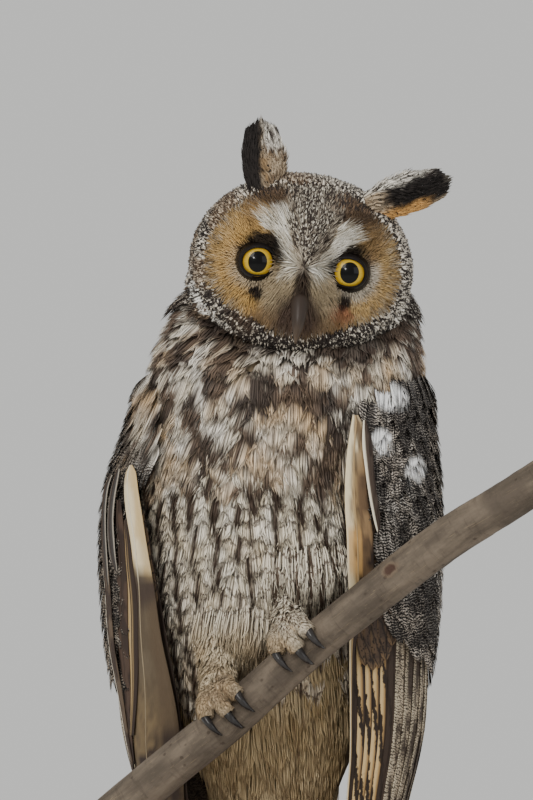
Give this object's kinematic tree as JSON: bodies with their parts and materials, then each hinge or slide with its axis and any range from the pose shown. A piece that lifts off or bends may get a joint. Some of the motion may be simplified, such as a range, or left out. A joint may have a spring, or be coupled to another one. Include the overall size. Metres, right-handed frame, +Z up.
{
  "type": "long-eared owl",
  "caption": "Still life-size long-eared owl with raised ear tufts and folded wings, gripping a short cut branch held over a flat base by two rods.",
  "frame": {"origin": "middle of the underside of the stand's base", "axes": "+Z up, the owl's face looks along -Y and its own left side is at +X"},
  "size_m": [0.24, 0.152, 0.3924],
  "materials": {
    "feather_body": "soft mottled feathers",
    "feather_head": "soft mottled feathers",
    "feather_wing": "smooth barred feathers",
    "feather_tail": "smooth barred feathers",
    "feather_leg": "short hair-like feathers",
    "eye": "clear gloss over a yellow iris",
    "bill": "satin horn",
    "claw": "gloss horn",
    "bark": "smooth grey-brown bark",
    "base_wood": "oiled dark wood",
    "rod_metal": "satin black"
  },
  "bodies": {
    "root": {"stand_base": "base_wood", "stand_rod_short": "rod_metal", "stand_rod_tall": "rod_metal", "perch": "bark", "torso": "feather_body", "neck": "feather_body", "head": "feather_head", "bill_upper": "bill", "bill_lower": "bill", "tail": "feather_tail", "eye_right": "eye", "ear_tuft_right": "feather_head", "wing_right": "feather_wing", "leg_right": "feather_leg", "foot_right": "feather_leg", "claw_right_inner": "claw", "claw_right_middle": "claw", "claw_right_outer": "claw", "claw_right_hind": "claw", "eye_left": "eye", "ear_tuft_left": "feather_head", "wing_left": "feather_wing", "leg_left": "feather_leg", "foot_left": "feather_leg", "claw_left_inner": "claw", "claw_left_middle": "claw", "claw_left_outer": "claw", "claw_left_hind": "claw"}
  },
  "joints": []
}
